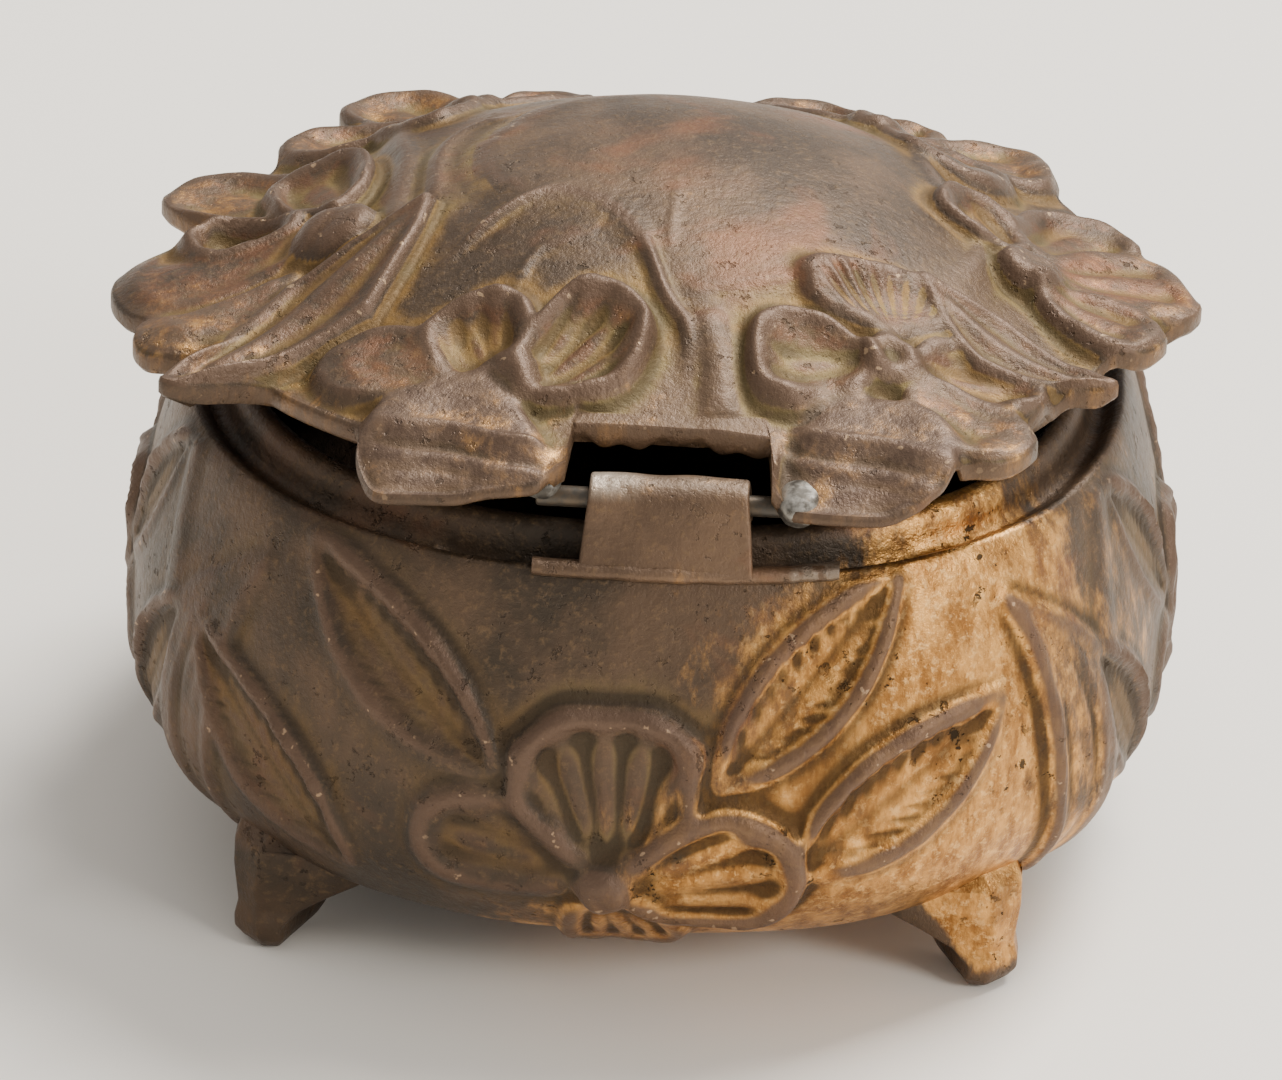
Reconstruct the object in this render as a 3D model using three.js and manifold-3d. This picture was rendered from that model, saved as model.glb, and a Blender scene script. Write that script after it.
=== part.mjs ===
// A small cast jewel casket on four feet: a pillow-shaped body with a domed, flower-edged lid
// that swings on a pin through one rolled hinge leaf. Millimetres, +Z up, the hinge side faces -Y.
import * as THREE from 'three';
import { mergeVertices } from 'three/addons/utils/BufferGeometryUtils.js';
import Module from 'manifold-3d';

const wasm = await Module();
wasm.setup();

// Driving dimensions
const PLAN_POWER = 2.35; // plan of body and lid: |x|^n + |y|^n = r^n, between a circle and a square
const PLAN_STEPS = 60; // facets around the plan
const FIT_GAP = 0.3; // between pieces that touch
const WALL = 1.4; // casting thickness

const BELLY_R = 36.1; // widest half width of the body
const BELLY_Z = 16.2;
const BASE_Z = 3; // underside of the body above the table
const RIDGE_R = 32.3; // crisp outer edge of the body's shoulder
const RIDGE_Z = 33.8;
const MOUTH_R = 28; // half width of the opening
const LIP_Z = 35.8; // top of the inner lip that the lid rests on

const HINGE_X = 2.1; // the hinge sits a little to one side of the middle
const PIN_Y = -29.6;
const PIN_Z = 38;
const PIN_R = 0.7;
const BORE_R = PIN_R + FIT_GAP;
const KNUCKLE_R = 1.75;
const TAB_W = 10.4;
const SOLE_W = 17; // strip of the leaf that is soldered along the ridge
const SOLE_T = 0.7;
const RECESS_FROM_X = -13.5; // seat cut into the shoulder behind the leaf
const RECESS_TO_X = 18.5;
const RECESS_DEPTH = 2.6;
const NOTCH_W = 13.2; // gap in the lid that the leaf stands in
const NOTCH_BACK_Y = -27.4;
const LUG_W = 2.6;
const LUG_HALF = 1.6; // an ear's half depth, and its reach below the pin
const LUG_TOP = 1.7;
const LUG_CORNER = 0.8; // the ears' lower corners are cut back to clear the lip
const LID_DROOP = THREE.MathUtils.degToRad(2.6); // the shut lid slopes down to its opening side

const DOME_Z = 51.6; // heights on the lid are taken square to it, at the hinge
const FLANGE_Z = 40.9;
const FLANGE_R = 31.8;
const SKIRT_R = 30.2;
const SKIRT_Z = 38.9;

const FOOT_AT = 23.6; // centre of each foot along X and Y
const FOOT_TOP_Z = 10;
const SOLE_HALF = 2.5;

const UP = new THREE.Vector3(0, 0, 1);

// Helpers
function mergedTriangles(geometry) {
  const bare = geometry.clone();
  bare.deleteAttribute('normal');
  bare.deleteAttribute('uv');
  const merged = mergeVertices(bare, 1e-4);
  const index = merged.index.array;
  const triangles = [];
  for (let i = 0; i < index.length; i += 3) {
    const [a, b, c] = index.slice(i, i + 3);
    if (a !== b && b !== c && c !== a) triangles.push(a, b, c);
  }
  return { points: merged.attributes.position.array, triangles };
}

function signedVolume(points, triangles) {
  const corner = (i) => new THREE.Vector3().fromArray(points, 3 * triangles[i]);
  let volume = 0;
  for (let i = 0; i < triangles.length; i += 3) {
    volume += corner(i).dot(corner(i + 1).cross(corner(i + 2))) / 6;
  }
  return volume;
}

function toSolid(geometry) {
  const { points, triangles } = mergedTriangles(geometry);
  if (signedVolume(points, triangles) < 0) triangles.reverse();
  const vertProperties = Float32Array.from(points);
  const triVerts = Uint32Array.from(triangles);
  return new wasm.Manifold(new wasm.Mesh({ numProp: 3, vertProperties, triVerts }));
}

function toGeometry(solid) {
  const { vertProperties, triVerts } = solid.getMesh();
  const geometry = new THREE.BufferGeometry();
  geometry.setAttribute('position', new THREE.BufferAttribute(vertProperties, 3));
  geometry.setIndex(new THREE.BufferAttribute(triVerts, 1));
  geometry.computeVertexNormals();
  return geometry;
}

function moveVertices(geometry, move) {
  const place = geometry.attributes.position;
  const point = new THREE.Vector3();
  for (let i = 0; i < place.count; i++) {
    point.fromBufferAttribute(place, i);
    move(point);
    place.setXYZ(i, point.x, point.y, point.z);
  }
  return geometry;
}

// How far the plan reaches in the direction of (x, y), as a multiple of its half width.
function planReach(x, y) {
  const length = Math.hypot(x, y) || 1;
  const powers = Math.abs(x / length) ** PLAN_POWER + Math.abs(y / length) ** PLAN_POWER;
  return powers ** (-1 / PLAN_POWER);
}

function planRadius(x, y) {
  return Math.hypot(x, y) / planReach(x, y);
}

// Turns a closed profile of [half width, height] around Z and gives it the pillow-shaped plan.
function turned(profile) {
  const points = profile.map(([r, z]) => new THREE.Vector2(r, z));
  const geometry = new THREE.LatheGeometry(points, PLAN_STEPS);
  geometry.rotateX(Math.PI / 2);
  return moveVertices(geometry, (p) => {
    const k = planReach(p.x, p.y);
    p.x *= k;
    p.y *= k;
  });
}

// A strip that follows the hinge side of the plan between two half widths, from x0 to x1.
function hingeSideStrip(innerR, outerR, x0, x1, z0, z1) {
  const along = (r, x) => -((r ** PLAN_POWER - Math.abs(x) ** PLAN_POWER) ** (1 / PLAN_POWER));
  const steps = 10;
  const xs = Array.from({ length: steps + 1 }, (_, i) => x0 + ((x1 - x0) * i) / steps);
  const outer = xs.map((x) => new THREE.Vector2(x, along(outerR, x)));
  const inner = xs.map((x) => new THREE.Vector2(x, along(innerR, x))).reverse();
  const outline = new THREE.Shape([...outer, ...inner]);
  const strip = new THREE.ExtrudeGeometry(outline, { depth: z1 - z0, bevelEnabled: false });
  return strip.translate(0, 0, z0);
}

// Extrudes a side view, drawn as [y, z] points, to the given width centred on x.
function acrossX(outline, x, width) {
  const side = new THREE.Shape(outline.map(([y, z]) => new THREE.Vector2(y, z)));
  const geometry = new THREE.ExtrudeGeometry(side, { depth: width, bevelEnabled: false });
  geometry.translate(0, 0, -width / 2);
  geometry.rotateY(Math.PI / 2);
  geometry.rotateX(Math.PI / 2);
  return geometry.translate(x, 0, 0);
}

function rodAlongX(radius, x, width, sides = 20) {
  const rod = new THREE.CylinderGeometry(radius, radius, width, sides);
  rod.rotateZ(Math.PI / 2);
  return rod.translate(x, PIN_Y, PIN_Z);
}

// Body: a thin cast bowl with a swelling belly, a hollow shoulder and a raised inner lip.
const bellyOutline = [
  [0, BASE_Z],
  [19, BASE_Z],
  [25.5, BASE_Z + 0.8],
  [30.8, BASE_Z + 2.9],
  [34.2, BASE_Z + 6.4],
  [35.8, BASE_Z + 9.8],
  [BELLY_R, BELLY_Z],
  [35.9, 21],
  [35.1, 25.5],
  [33.9, 29.8],
  [32.9, 32.8],
  [RIDGE_R, RIDGE_Z],
];

const shoulderOutline = [
  [RIDGE_R - 0.7, RIDGE_Z - 0.5],
  [RIDGE_R - 1.5, RIDGE_Z - 1.8],
  [MOUTH_R + WALL + 0.8, RIDGE_Z - 1.2],
  [MOUTH_R + WALL, LIP_Z - 0.5],
  [MOUTH_R + WALL - 0.5, LIP_Z],
  [MOUTH_R + 0.3, LIP_Z - 0.1],
  [MOUTH_R, LIP_Z - 1],
  [MOUTH_R, RIDGE_Z - 3],
];

function bodyInside() {
  const lining = bellyOutline.slice(1, -2).map(([r, z]) => {
    const low = THREE.MathUtils.clamp((BELLY_Z - z) / (BELLY_Z - BASE_Z), 0, 1);
    return [r - WALL * (1.15 - 0.8 * low ** 3), z + WALL * low ** 1.5];
  });
  return [...lining.reverse(), [0, BASE_Z + WALL]];
}

function makeBody() {
  const shell = toSolid(turned([...bellyOutline, ...shoulderOutline, ...bodyInside()]));
  const across = [MOUTH_R + WALL + 0.9, RIDGE_R - 0.8];
  const along = [RECESS_FROM_X, RECESS_TO_X];
  const recess = hingeSideStrip(...across, ...along, RIDGE_Z - RECESS_DEPTH, LIP_Z);
  return shell.subtract(toSolid(recess));
}

// Feet: tapering brackets under the four corners, fitted to the belly.
function footSection([z, inner, outer, chamfer]) {
  const near = FOOT_AT - inner;
  const far = FOOT_AT + outer;
  const cut = far - chamfer;
  return [
    [near, near, z],
    [far, near, z],
    [far, cut, z],
    [cut, far, z],
    [near, far, z],
  ];
}

function lofted(sections) {
  const sides = sections[0].length;
  const corners = sections.flat(2);
  const index = [];
  for (let level = 0; level + 1 < sections.length; level++) {
    for (let i = 0; i < sides; i++) {
      const a = level * sides + i;
      const b = level * sides + ((i + 1) % sides);
      index.push(a, b, b + sides, a, b + sides, a + sides);
    }
  }
  const top = (sections.length - 1) * sides;
  for (let i = 1; i + 1 < sides; i++) index.push(0, i + 1, i, top, top + i, top + i + 1);
  const geometry = new THREE.BufferGeometry();
  geometry.setAttribute('position', new THREE.Float32BufferAttribute(corners, 3));
  geometry.setIndex(index);
  return geometry;
}

// Height, reach towards the middle, reach outwards, and the cut across the outer corner
const footOutline = [
  [0, SOLE_HALF - 0.1, SOLE_HALF + 0.1, 1.2],
  [1.4, 3, 3.1, 1.4],
  [4.5, 3.4, 3, 1.4],
  [8, 5.5, 3.1, 1.6],
  [FOOT_TOP_Z, 8.5, 2.3, 2],
];

function makeFoot(turn) {
  const block = lofted(footOutline.map(footSection));
  block.rotateZ(turn);
  const grown = bellyOutline.map(([r, z]) => [r ? r + FIT_GAP : 0, z - FIT_GAP * (z < BELLY_Z)]);
  const belly = toSolid(turned([...grown, [0, RIDGE_Z]]));
  return toSolid(block).subtract(belly);
}

// Hinge leaf: a strap soldered along the ridge whose tab stands up and rolls around the pin.
function makeHingeLeaf() {
  const soleZ = RIDGE_Z + FIT_GAP;
  const span = [HINGE_X - SOLE_W / 2, HINGE_X + SOLE_W / 2];
  const sole = hingeSideStrip(RIDGE_R - 0.9, RIDGE_R + SOLE_T, ...span, soleZ, soleZ + SOLE_T);
  const front = PIN_Y - KNUCKLE_R;
  const tab = acrossX(
    [
      [-RIDGE_R - 0.2, soleZ],
      [-RIDGE_R + 0.9, soleZ],
      [front + 1.1, PIN_Z - 0.6],
      [front + 0.9, PIN_Z + 0.2],
      [front, PIN_Z],
    ],
    HINGE_X,
    TAB_W,
  );
  const knuckle = rodAlongX(KNUCKLE_R, HINGE_X, TAB_W, 28);
  const bore = rodAlongX(BORE_R, HINGE_X, TAB_W + 2);
  return toSolid(sole).add(toSolid(tab)).add(toSolid(knuckle)).subtract(toSolid(bore));
}

function makePin() {
  return toSolid(rodAlongX(PIN_R, HINGE_X, NOTCH_W + 2 * LUG_W - 1));
}

// Lid lugs: two soldered ears beside the notch that hold the ends of the pin.
function makeLug(side) {
  const x = HINGE_X + side * (NOTCH_W / 2 + LUG_W / 2);
  const ear = acrossX(
    [
      [PIN_Y - LUG_HALF, PIN_Z + LUG_TOP],
      [PIN_Y - LUG_HALF, PIN_Z - LUG_HALF + 1],
      [PIN_Y - LUG_HALF + LUG_CORNER, PIN_Z - LUG_HALF],
      [PIN_Y + LUG_HALF - LUG_CORNER, PIN_Z - LUG_HALF],
      [PIN_Y + LUG_HALF, PIN_Z - LUG_HALF + 1],
      [PIN_Y + LUG_HALF, PIN_Z + LUG_TOP],
    ],
    x,
    LUG_W,
  );
  return toSolid(ear).subtract(toSolid(rodAlongX(BORE_R, x, LUG_W + 2)));
}

// Lid: a thin cast dome whose rim is made of flowers and long leaves.
const domeOutline = [
  [0, DOME_Z],
  [6, DOME_Z - 0.4],
  [12, DOME_Z - 1.8],
  [17, DOME_Z - 3.8],
  [21.5, DOME_Z - 6.2],
  [25.5, DOME_Z - 8.6],
  [28.5, FLANGE_Z + 0.7],
  [FLANGE_R, FLANGE_Z],
];

function domeHeight(x, y) {
  const r = planRadius(x, y);
  const next = domeOutline.findIndex(([edge]) => edge > r);
  if (next < 0) return FLANGE_Z;
  const [r0, z0] = domeOutline[next - 1];
  const [r1, z1] = domeOutline[next];
  return THREE.MathUtils.mapLinear(r, r0, r1, z0, z1);
}

const domeInside = [
  [SKIRT_R - WALL, FLANGE_Z - 1],
  [SKIRT_R - WALL - 1.8, FLANGE_Z - 0.2],
  ...domeOutline
    .slice(0, 6)
    .map(([r, z]) => [r * 0.97, z - WALL])
    .reverse(),
];

function makeDome() {
  const rim = [
    [FLANGE_R - 0.2, FLANGE_Z - 1],
    [SKIRT_R, FLANGE_Z - 1],
    [SKIRT_R, SKIRT_Z],
    [SKIRT_R - WALL, SKIRT_Z],
  ];
  return toSolid(turned([...domeOutline, ...rim, ...domeInside]));
}

// A lens that lies on the dome at (x, y) and points along heading, in degrees from +X.
function petal([x, y, heading, length, width, thickness = 2.2, lift = 0]) {
  const lens = new THREE.SphereGeometry(0.5, 10, 6);
  lens.rotateX(Math.PI / 2);
  lens.scale(length, width, thickness);
  const slopeX = (domeHeight(x + 1, y) - domeHeight(x - 1, y)) / 2;
  const slopeY = (domeHeight(x, y + 1) - domeHeight(x, y - 1)) / 2;
  const normal = new THREE.Vector3(-slopeX, -slopeY, 1).normalize();
  lens.rotateZ(THREE.MathUtils.degToRad(heading));
  lens.applyQuaternion(new THREE.Quaternion().setFromUnitVectors(UP, normal));
  return toSolid(lens.translate(x, y, domeHeight(x, y) + lift));
}

// [x, y, heading, length, width], and where it matters thickness and lift
const hingeSidePetals = [
  [-11.4, -20.8, 115, 8.5, 7.5],
  [-3.8, -22, 45, 9, 8],
  [-18.6, -21.8, 195, 8, 7],
  [10.6, -21.6, 165, 9, 7.5],
  [15.8, -15.8, 90, 8.5, 8],
  [22.4, -17.6, 20, 9.5, 7.5],
  [21, -24.2, -40, 9, 7.5],
];
const turnedDownPetals = [
  [-12.9, -28.6, 8, 14.6, 8.6, 4.4, -0.6],
  [15.2, -28.4, 4, 12.6, 8.8, 4.4, -0.6],
];
const sidePetals = [
  [-31.6, -8, 192, 12.4, 14],
  [-28.6, -14, 215, 11, 9],
  [-22.4, -5.6, 150, 7, 6.5],
  [-24, 3.4, 170, 9, 8],
  [-29.6, 8.4, 160, 11, 9],
  [31.8, 2, 5, 10.5, 13],
  [29.8, -7.4, -20, 9, 8],
  [24.4, -3, 10, 7, 7],
];
const openingSidePetals = [
  [-20, 24.8, 125, 11.5, 9.5],
  [-24.6, 16.6, 145, 9, 8],
  [-7, 26.6, 100, 10, 9.5],
  [6.4, 28, 80, 10.5, 9.5],
  [13.6, 24.6, 62, 9.5, 8.5],
  [22.4, 19.8, 42, 14, 10],
];
const leaves = [
  [-25, -16.8, 223, 18.5, 6],
  [24.2, -12.4, -15, 16, 5],
];

// What is cut from the lid's hinge side, from well below it up to the given height.
function hingeSideCut(top, width) {
  const bottom = RIDGE_Z - 4;
  const clear = NOTCH_BACK_Y - 18;
  const side = [[clear, bottom], [NOTCH_BACK_Y, bottom], [NOTCH_BACK_Y, top], [clear, top]];
  return toSolid(acrossX(side, HINGE_X, width));
}

function makeLid() {
  const pieces = [hingeSidePetals, turnedDownPetals, sidePetals, openingSidePetals, leaves].flat();
  const lid = pieces.reduce((whole, each) => whole.add(petal(each)), makeDome());
  const hollow = toSolid(turned([[0, SKIRT_Z - 3], [SKIRT_R - WALL, SKIRT_Z - 3], ...domeInside]));
  const notch = hingeSideCut(DOME_Z, NOTCH_W);
  const pocket = hingeSideCut(PIN_Z + LUG_TOP + FIT_GAP, NOTCH_W + 2 * (LUG_W + FIT_GAP));
  return [hollow, notch, pocket].reduce((whole, cut) => whole.subtract(cut), lid);
}

// Assembly
const gilt = { color: 0x7d6238, roughness: 0.5, metalness: 0.85 };
const solderGrey = { color: 0x8a8580, roughness: 0.45, metalness: 0.9 };

function mesh(name, solid, finish) {
  const part = new THREE.Mesh(toGeometry(solid), new THREE.MeshStandardMaterial(finish));
  part.name = name;
  return part;
}

const casket = new THREE.Group();
casket.add(mesh('body_shell', makeBody(), gilt));
const feet = ['front_right', 'front_left', 'hinge_left', 'hinge_right'];
feet.forEach((corner, i) => casket.add(mesh(`foot_${corner}`, makeFoot((i * Math.PI) / 2), gilt)));
casket.add(mesh('hinge_leaf', makeHingeLeaf(), gilt));

const lidPivot = new THREE.Group();
lidPivot.position.set(0, PIN_Y, PIN_Z);
lidPivot.rotation.x = -LID_DROOP;
const lidFrame = new THREE.Group();
lidFrame.position.set(0, -PIN_Y, -PIN_Z);
lidPivot.add(lidFrame);
lidFrame.add(mesh('lid_shell', makeLid(), gilt));
lidFrame.add(mesh('hinge_pin', makePin(), solderGrey));
lidFrame.add(mesh('lid_lug_left', makeLug(-1), solderGrey));
lidFrame.add(mesh('lid_lug_right', makeLug(1), solderGrey));
casket.add(lidPivot);

export default casket;
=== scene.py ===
import math

import bmesh
import bpy
import numpy as np
from mathutils import Matrix, Vector


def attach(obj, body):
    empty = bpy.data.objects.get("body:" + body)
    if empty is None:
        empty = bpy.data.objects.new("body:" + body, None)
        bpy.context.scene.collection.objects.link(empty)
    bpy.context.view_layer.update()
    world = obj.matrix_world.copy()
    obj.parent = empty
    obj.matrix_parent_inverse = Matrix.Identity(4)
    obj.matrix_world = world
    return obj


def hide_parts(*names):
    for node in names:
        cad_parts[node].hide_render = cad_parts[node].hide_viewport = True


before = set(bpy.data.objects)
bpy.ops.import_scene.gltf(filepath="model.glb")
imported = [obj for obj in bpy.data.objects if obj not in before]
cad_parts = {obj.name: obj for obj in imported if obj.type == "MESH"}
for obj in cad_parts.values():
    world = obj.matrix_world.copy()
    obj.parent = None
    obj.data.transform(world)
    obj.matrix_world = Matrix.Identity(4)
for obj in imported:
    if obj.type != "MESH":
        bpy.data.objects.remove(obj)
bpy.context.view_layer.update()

# ---- Body ------------------------------------------------------------------
# A thin bowl cast in one piece in a soft grey metal, with a pillow-shaped plan, a hollow
# shoulder and an inner lip. Flowers and leaves are cast into its four sides. It was gilt all
# over, and the gilding is worn down to a dark brown skin except on one half of the hinge side.
MM = 0.001
COLUMNS = 720
DOUBLINGS = 4  # a piece is spun as a narrow wedge, which is then doubled this often
PLAN_POWER = 2.35
ARC = 36.0  # what one radian measures along the belly
SIDES = {"hinge": -90.0, "right": 0.0, "opening": 90.0, "left": 180.0}

BELLY = [(19, 3), (25.5, 3.8), (30.8, 5.9), (34.2, 9.4), (35.8, 12.8), (36.1, 16.2), (35.9, 21),
         (35.1, 25.5), (33.9, 29.8), (32.9, 32.8), (32.35, 33.8)]
SHOULDER = [(32.1, 34.05), (31.8, 34.0), (31.4, 33.55), (30.9, 33.05), (30.4, 33.0), (30.0, 33.5),
            (29.6, 35), (29.2, 35.6), (28.7, 35.8), (28.2, 35.6), (28, 34.8), (28, 31)]
INSIDE = [(31.4, 30), (32.9, 27), (33.9, 22), (34.4, 16.2), (33.8, 12), (31.6, 8.4), (27.5, 6),
          (19, 4.5), (9, 4.4), (0, 4.4)]
SEAT_FROM, SEAT_TO, SEAT_FLOOR = -13.5, 18.5, 31.3


def plan_reach(x, y):
    size = np.hypot(x, y) + 1e-12
    return (np.abs(x / size) ** PLAN_POWER + np.abs(y / size) ** PLAN_POWER) ** (-1 / PLAN_POWER)


def eased(low, high, value):
    t = np.clip((value - low) / (high - low), 0, 1)
    return t * t * (3 - 2 * t)


def cord_line(distance, width):
    """A rounded ridge of height 1 that is width wide."""
    return np.clip(1 - (2 * distance / width) ** 2, 0, 1) ** 1.3


def soft_line(corners, count):
    """A soft curve through the corners, as count points evenly spaced along it."""
    p = np.array(corners, float)
    ends = np.vstack([2 * p[0] - p[1], p, 2 * p[-1] - p[-2]])
    t = np.linspace(0, 1, 24, endpoint=False)[:, None]
    runs = [0.5 * (2 * b + (c - a) * t + (2 * a - 5 * b + 4 * c - d) * t**2 + (3 * b - a - 3 * c + d) * t**3)
            for a, b, c, d in zip(ends, ends[1:], ends[2:], ends[3:])]
    line = np.vstack(runs + [p[-1:]])
    far = np.concatenate([[0], np.cumsum(np.linalg.norm(np.diff(line, axis=0), axis=1))])
    even = np.linspace(0, far[-1], count)
    return np.stack([np.interp(even, far, line[:, k]) for k in (0, 1)], 1)


def uneven(x, y, z, size, seed=0.0):
    """Slow, smooth unevenness of about size millimetres between its swells, from -1 to 1."""
    k = 2 * math.pi / size
    total = 0
    for i, (a, b, c) in enumerate([(1, 0.3, -0.5), (-0.4, 1, 0.6), (0.5, -0.7, 1), (1.3, 1.1, -0.9),
                                   (-1.5, 0.8, 1.2), (0.9, -1.6, 0.7)]):
        total = total + np.sin(k * (a * x + b * y + c * z) + seed + 2.1 * i) / (1 + 0.5 * i)
    return total / 3.2


class Relief:
    """Raised work on a casting. Each shape is laid over the ones before it."""

    def __init__(self, shape):
        self.height = np.zeros(shape)
        self.inside = np.zeros(shape)

    def lay(self, cover, height, inside=0.0):
        self.height += cover * (height - self.height)
        self.inside += cover * (inside - self.inside)

    def add(self, height):
        self.height += height


VEIN_GAP = 1.5  # along a leaf


def leaf(work, u, v, base, tip, width, bow=0.0, rims=(0.6, 0.6), dish=0.3, rise=0.25, veins=0.08, rim_w=1.3):
    """A lens-shaped leaf with a cord along each edge, a groove down its middle and slanting veins."""
    (bu, bv), (tu, tv) = base, tip
    au, av = tu - bu, tv - bv
    length = math.hypot(au, av)
    along = ((u - bu) * au + (v - bv) * av) / length**2
    s = np.clip(along, 0, 1)
    across = ((v - bv) * au - (u - bu) * av) / length - bow * 4 * s * (1 - s)
    half = width / 2 * np.sin(math.pi * s**0.9) ** 0.85
    past = np.maximum(np.maximum(-along, along - 1), 0) * length
    edge = np.where(past > 0, np.hypot(np.maximum(np.abs(across) - half, 0), past), np.abs(across) - half)
    inside = eased(0.2, -0.9, edge)
    hold = 0.4 + 0.6 * np.sin(math.pi * s)
    patchy = 1 + 0.3 * np.sin(s * 23 + bu) * np.sin(s * 9 + bv)
    rim = np.where(across > 0, rims[0], rims[1]) * cord_line(edge + 0.1, rim_w) * hold * patchy
    share = np.clip(np.abs(across) / (half + 0.3), 0, 1)
    body = rise - dish * (1 - share**2) * inside * hold
    body = body + 0.25 * cord_line(across, 2.2) * inside * hold - 0.5 * cord_line(across, 0.9) * inside * hold
    slant = s * length / VEIN_GAP - np.abs(across) * 0.6
    ripple = np.sin(2 * math.pi * slant + 0.9 * np.sin(s * 17 + bu))
    body = body + 1.7 * veins * ripple * inside * eased(0.15, 0.5, share)
    work.lay(eased(0.9, -0.2, edge), body + rim, inside)


def petal(work, u, v, root, tip, width, rim=0.6, dish=0.5, rise=0.3, ribs=4, lobes=0, rim_w=1.6,
          fan=0.55, depth=0.22):
    """A dished petal that widens from its root, with a rolled border and ribs that fan out."""
    (ru, rv), (tu, tv) = root, tip
    au, av = tu - ru, tv - rv
    length = math.hypot(au, av)
    along = ((u - ru) * au + (v - rv) * av) / length**2
    across = ((v - rv) * au - (u - ru) * av) / length
    a, b = (along - 0.5) / 0.5, across / (width / 2 * (0.62 + fan * np.clip(along, 0, 1)))
    bearing = np.arctan2(b, a)
    q = np.hypot(a, b) * (1 + 0.025 * np.sin(3 * bearing + ru) + 0.02 * np.sin(5 * bearing + tv))
    if lobes:
        q = q * (1 + 0.022 * np.cos(lobes * bearing))
    edge = (q - 1) * 0.45 * min(length, width)
    inside = eased(-0.3, -1.5, edge)
    ridge = edge + 0.5
    hold = 0.72 + 0.2 * np.cos(bearing) + 0.12 * np.sin(4 * bearing + ru) + 0.08 * np.sin(9 * bearing + tu)
    border = rim * hold * np.where(ridge > 0, cord_line(ridge, 1.6), cord_line(ridge, 2 * rim_w))
    spread = np.arctan2(across, along * length + 0.3 * length)
    grooves = np.clip(0.5 - 0.5 * np.cos(spread * ribs * 2 * math.pi + 0.4 * np.sin(along * 7)), 0, 1) ** 1.5
    reachy = eased(0.0, 0.35, along) * eased(1.05, 0.7, along)
    body = rise - dish * inside * (1 - 0.5 * np.clip(q, 0, 1) ** 2)
    body = body + 1.9 * depth * (0.6 - grooves) * inside * reachy
    work.lay(eased(0.35, -0.35, edge), body + border, inside)


def dome_knob(work, u, v, at, radius, height, dent=0.0):
    """A round knob, with a dent in its top."""
    far = np.hypot(u - at[0], v - at[1])
    shape = height * np.sqrt(np.clip(1 - (far / radius) ** 2, 0, 1))
    shape = shape - dent * np.exp(-((far / (0.42 * radius)) ** 2))
    work.lay(eased(radius, radius * 0.85, far), np.maximum(work.height, 0) * 0.5 + shape, 0)


def blurred(grid, reach, passes=3):
    """The grid averaged over its neighbours: round the piece and along its outline."""
    for _ in range(passes):
        total = grid.copy()
        for step in range(1, reach + 1):
            total += np.roll(grid, step, 1) + np.roll(grid, -step, 1)
        grid = total / (2 * reach + 1)
        padded = np.pad(grid, ((reach, reach), (0, 0)), mode="edge")
        grid = sum(padded[k:k + len(grid)] for k in range(2 * reach + 1)) / (2 * reach + 1)
    return grid


def spun_piece(name, places, marks):
    """Spins a closed outline into a skin of quads and puts each vertex where the grid of places, in
    millimetres, says. Marks are numbers that the material reads from the vertices."""
    rings, columns = places.shape[:2]
    bm = bmesh.new()
    order = bm.verts.layers.int.new("ring")
    ring = []
    for i in range(rings):
        on_axis = i in (0, rings - 1)
        a = math.pi * i / rings
        corner = bm.verts.new((0 if on_axis else 1 + math.sin(a), 0, 3 * math.cos(a)))
        corner[order] = i
        ring.append(corner)
    edges = [bm.edges.new(pair) for pair in zip(ring, ring[1:])]
    wedge = 2 * math.pi / 2**DOUBLINGS
    bmesh.ops.spin(bm, geom=ring + edges, cent=(0, 0, 0), axis=(0, 0, 1), angle=wedge,
                   steps=columns // 2**DOUBLINGS)
    for doubling in range(DOUBLINGS):
        grown = bmesh.ops.duplicate(bm, geom=bm.verts[:] + bm.edges[:] + bm.faces[:])["geom"]
        bmesh.ops.rotate(bm, cent=(0, 0, 0), matrix=Matrix.Rotation(wedge * 2**doubling, 3, "Z"),
                         verts=[g for g in grown if isinstance(g, bmesh.types.BMVert)])
    bmesh.ops.remove_doubles(bm, verts=bm.verts, dist=1e-5)
    bmesh.ops.recalc_face_normals(bm, faces=bm.faces)
    mesh = bpy.data.meshes.new(name)
    bm.to_mesh(mesh)
    bm.free()
    count = len(mesh.vertices)
    co = np.zeros(count * 3)
    mesh.vertices.foreach_get("co", co)
    co = co.reshape(-1, 3)
    rows = np.zeros(count, np.int32)
    mesh.attributes["ring"].data.foreach_get("value", rows)
    turns = np.round(np.arctan2(co[:, 1], co[:, 0]) / (2 * math.pi) * columns).astype(int) % columns
    mesh.vertices.foreach_set("co", (places[rows, turns] * MM).ravel())
    mesh.attributes.remove(mesh.attributes["ring"])
    for mark, grid in marks.items():
        data = mesh.attributes.new(mark, "FLOAT", "POINT").data
        data.foreach_set("value", grid[rows, turns].astype(np.float32))
    mesh.polygons.foreach_set("use_smooth", [True] * len(mesh.polygons))
    mesh.update()
    piece = bpy.data.objects.new(name, mesh)
    bpy.context.scene.collection.objects.link(piece)
    return piece


belly = soft_line(BELLY, 100)
shoulder = soft_line(SHOULDER, 20)
inside = soft_line(INSIDE, 12)
inside[-1] = (0, 4.4)
floor_line = [(r, 3 + 0.25 * math.cos(r / 19 * math.pi / 2)) for r in (0, 6, 12, 16)]
outline = np.vstack([floor_line, belly, shoulder, inside])
belly_rows = slice(len(floor_line), len(floor_line) + len(belly))
climb = np.concatenate([[0], np.cumsum(np.linalg.norm(np.diff(belly, axis=0), axis=1))])

turn = np.arange(COLUMNS) * 2 * math.pi / COLUMNS
level = np.broadcast_to(climb[:, None], (len(belly), COLUMNS))


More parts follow.
